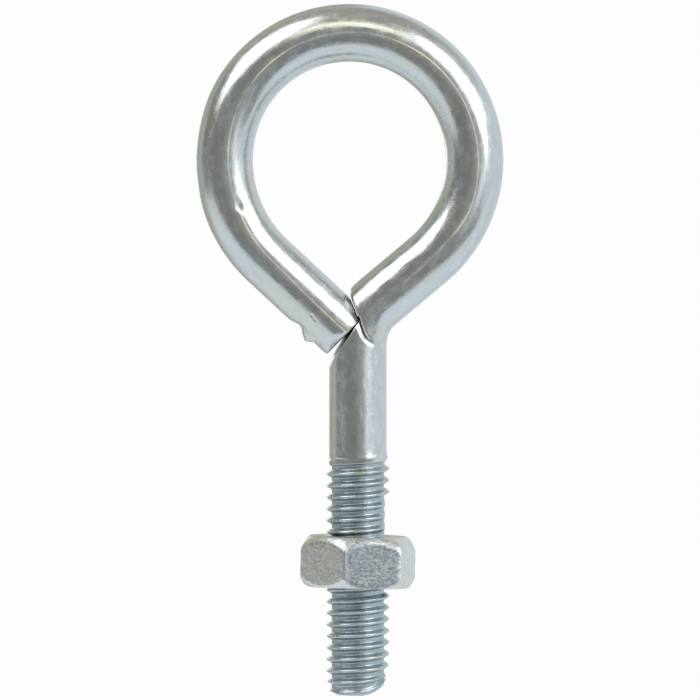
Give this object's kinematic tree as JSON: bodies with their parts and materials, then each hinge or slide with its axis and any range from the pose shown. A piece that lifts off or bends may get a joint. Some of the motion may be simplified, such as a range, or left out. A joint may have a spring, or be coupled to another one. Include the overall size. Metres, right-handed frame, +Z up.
{
  "type": "eye bolt",
  "caption": "Bent steel rod with a round closed eye at the top, a straight shank, a rolled thread at the lower end and a chamfered hex nut on it",
  "frame": {"origin": "on the shank's axis, at the lower tip of the thread", "axes": "+Z up the shank to the eye, the eye lies in the XZ plane, +Y through the eye, away from the face that shows the end of the rod on the left"},
  "size_m": [0.0373, 0.0142, 0.0838],
  "materials": {
    "zinc_rod": "bright zinc plate on a drawn and bent steel rod, semi-gloss, with fine draw lines and a bluish tint",
    "zinc_nut": "zinc plate on a cold-formed nut, satin, with small dents and a slight warm tint"
  },
  "bodies": {
    "bolt": {"eye_bolt": "zinc_rod"},
    "nut_carrier": {"nut_bearing_face": "zinc_nut"},
    "nut": {"hex_nut": "zinc_nut"}
  },
  "joints": [
    {"name": "nut_travel", "type": "slide", "parent": "bolt", "child": "nut_carrier", "axis": [0, 0, 1], "range_m": [-0.02117, 0.00706]},
    {"name": "nut_turn", "type": "hinge", "parent": "nut_carrier", "child": "nut", "pos_m": [0, 0, 0.016], "axis": [0, 0, 1], "range_deg": [-5400, 1800]}
  ],
  "couplings": [
    {"joint": "nut_travel", "follows": "nut_turn", "m_per_rad": 0.00022459}
  ]
}
